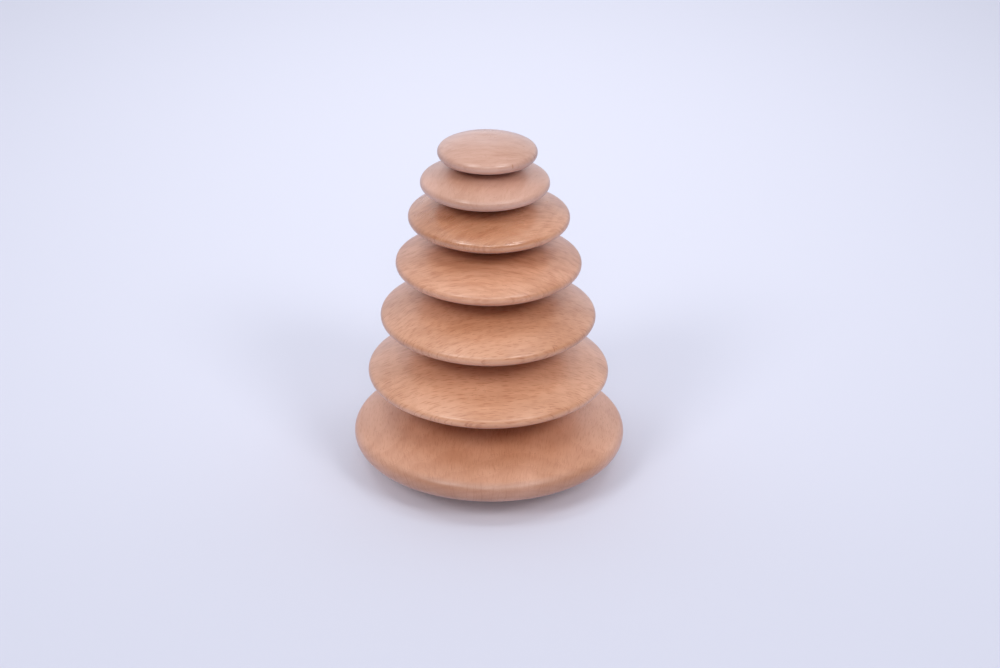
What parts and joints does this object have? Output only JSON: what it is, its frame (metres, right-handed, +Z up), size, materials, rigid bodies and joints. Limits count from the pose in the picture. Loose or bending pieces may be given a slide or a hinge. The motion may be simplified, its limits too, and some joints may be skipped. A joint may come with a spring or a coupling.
{
  "type": "stacking disc toy",
  "caption": "Child's stacking toy: loose turned wooden discs, lens-shaped with rounded rims, that balance one on another in a tapering tower.",
  "frame": {"origin": "centre of the base disc's lower flat, on the surface that the stack stands on", "axes": "+Z up along the stack, +X to the right and -Y towards a person who faces the stack"},
  "size_m": [0.1, 0.1, 0.1285],
  "materials": {
    "beech": "satin clear finish on sanded beech",
    "pale_beech": "satin clear finish on sanded pale beech"
  },
  "bodies": {
    "base_disc": {"base_disc": "beech"},
    "second_disc": {"second_disc": "beech"},
    "third_disc": {"third_disc": "beech"},
    "fourth_disc": {"fourth_disc": "beech"},
    "fifth_disc": {"fifth_disc": "beech"},
    "sixth_disc": {"sixth_disc": "pale_beech"},
    "top_disc": {"top_disc": "pale_beech"}
  },
  "joints": [
    {"name": "second_disc_lift", "type": "slide", "parent": "base_disc", "child": "second_disc", "axis": [0, 0, 1], "range_m": [0, 0.05]},
    {"name": "third_disc_lift", "type": "slide", "parent": "second_disc", "child": "third_disc", "axis": [0, 0, 1], "range_m": [0, 0.05]},
    {"name": "fourth_disc_lift", "type": "slide", "parent": "third_disc", "child": "fourth_disc", "axis": [0, 0, 1], "range_m": [0, 0.05]},
    {"name": "fifth_disc_lift", "type": "slide", "parent": "fourth_disc", "child": "fifth_disc", "axis": [0, 0, 1], "range_m": [0, 0.05]},
    {"name": "sixth_disc_lift", "type": "slide", "parent": "fifth_disc", "child": "sixth_disc", "axis": [0, 0, 1], "range_m": [0, 0.05]},
    {"name": "top_disc_lift", "type": "slide", "parent": "sixth_disc", "child": "top_disc", "axis": [0, 0, 1], "range_m": [0, 0.05]}
  ]
}
